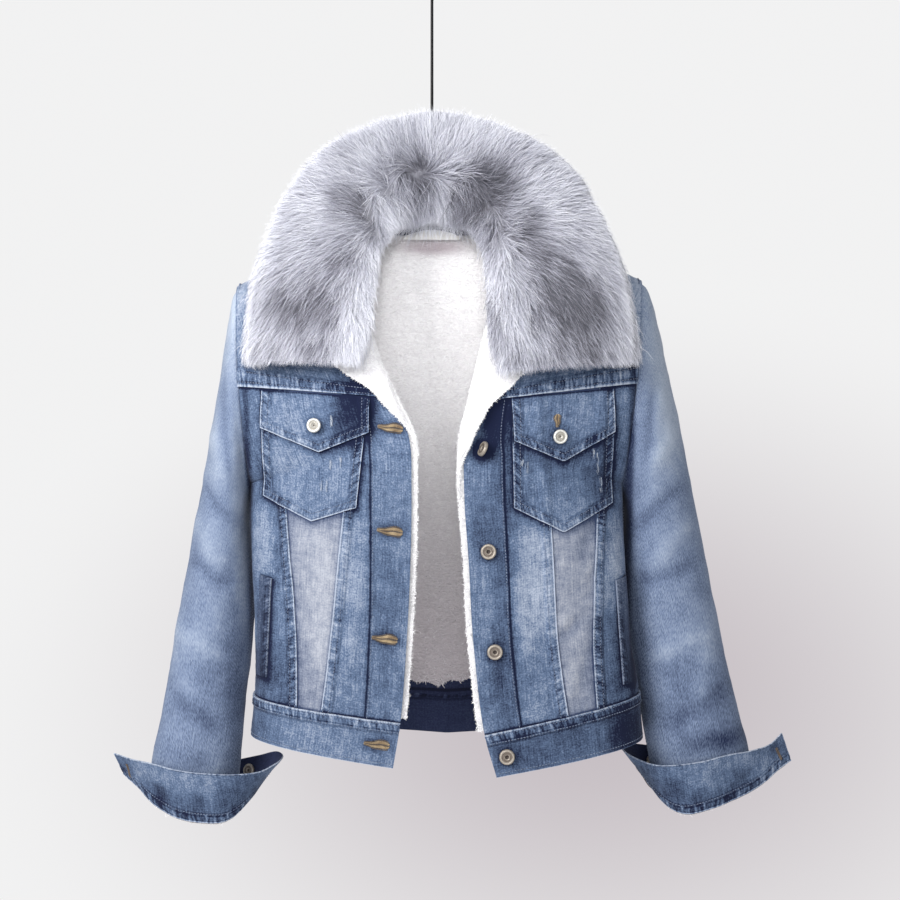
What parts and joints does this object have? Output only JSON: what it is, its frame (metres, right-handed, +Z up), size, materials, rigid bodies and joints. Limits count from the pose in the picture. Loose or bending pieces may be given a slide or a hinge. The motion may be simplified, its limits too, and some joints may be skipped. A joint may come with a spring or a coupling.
{
  "type": "sherpa lined denim jacket on a hanger",
  "caption": "Cropped denim jacket hanging open on a wire hanger: deep fur collar, fleece lining, buttoned front, flap chest pockets, turned-up cuffs.",
  "frame": {"origin": "inside the top of the hanger's hook, where it rests on a rail", "axes": "+Z up, -Y the jacket's front, +X the wearer's left"},
  "size_m": [0.7758, 0.1908, 0.9944],
  "materials": {
    "denim": "washed light blue twill",
    "dark_denim": "dark blue twill",
    "fleece": "white curly fleece",
    "fur": "long grey fur with pale tips",
    "label": "smooth white woven tape",
    "brass": "worn pale plating",
    "black_metal": "black, semi-gloss"
  },
  "bodies": {
    "root": {"back_centre": "denim", "back_side_left": "denim", "back_side_right": "denim", "back_yoke": "denim", "chest_pocket_left": "denim", "chest_pocket_right": "denim", "cuff_button_left": "brass", "cuff_button_right": "brass", "cuff_fleece_left": "fleece", "cuff_fleece_right": "fleece", "cuff_left": "denim", "cuff_right": "denim", "front_button_1": "brass", "front_button_2": "brass", "front_button_3": "brass", "front_button_4": "brass", "front_centre_left": "denim", "front_centre_right": "denim", "front_middle_left": "denim", "front_middle_right": "denim", "front_side_left": "denim", "front_side_right": "denim", "front_yoke_left": "denim", "front_yoke_right": "denim", "fur_collar": "fur", "hanger_arms": "black_metal", "hanger_hook": "black_metal", "lapel_left": "fleece", "lapel_right": "fleece", "lining_back": "fleece", "lining_front_left": "fleece", "lining_front_right": "fleece", "neck_label": "label", "placket_left": "denim", "placket_right": "denim", "pocket_button_left": "brass", "pocket_button_right": "brass", "pocket_flap_left": "denim", "pocket_flap_right": "denim", "side_welt_left": "dark_denim", "side_welt_right": "dark_denim", "sleeve_left": "denim", "sleeve_right": "denim", "under_collar": "denim", "waistband": "denim"}
  },
  "joints": []
}
